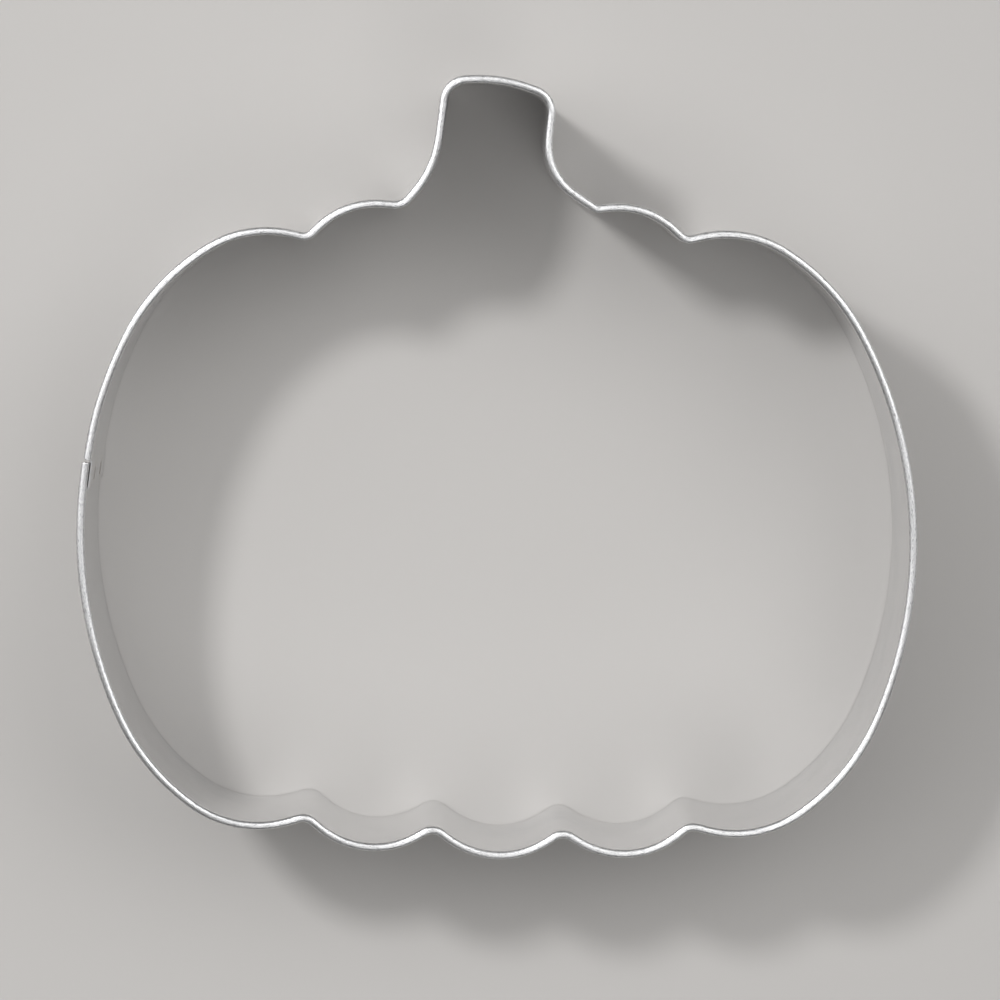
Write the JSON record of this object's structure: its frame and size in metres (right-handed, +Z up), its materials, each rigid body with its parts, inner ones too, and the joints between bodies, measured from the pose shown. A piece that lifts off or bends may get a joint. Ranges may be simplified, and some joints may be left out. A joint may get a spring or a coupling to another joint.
{
  "type": "cookie cutter",
  "caption": "Pumpkin-shaped cookie cutter bent from a strip of tinned steel sheet, with a rolled rim on top, a plain cutting edge below and a lapped, spot-welded seam.",
  "frame": {"origin": "middle of the object's box, on the surface that the cutting edge stands on", "axes": "+Z up from the cutting edge to the rolled rim, +Y towards the stem, +X to the right seen from above"},
  "size_m": [0.0892, 0.0834, 0.025],
  "materials": {
    "tinplate": "bright tinned sheet with fine lengthwise rolling lines",
    "weld_metal": "dull, slightly heat-tinted spots pressed by the electrodes"
  },
  "bodies": {
    "root": {"cutter_strip": "tinplate", "spot_weld_upper": "weld_metal", "spot_weld_lower": "weld_metal"}
  },
  "joints": []
}
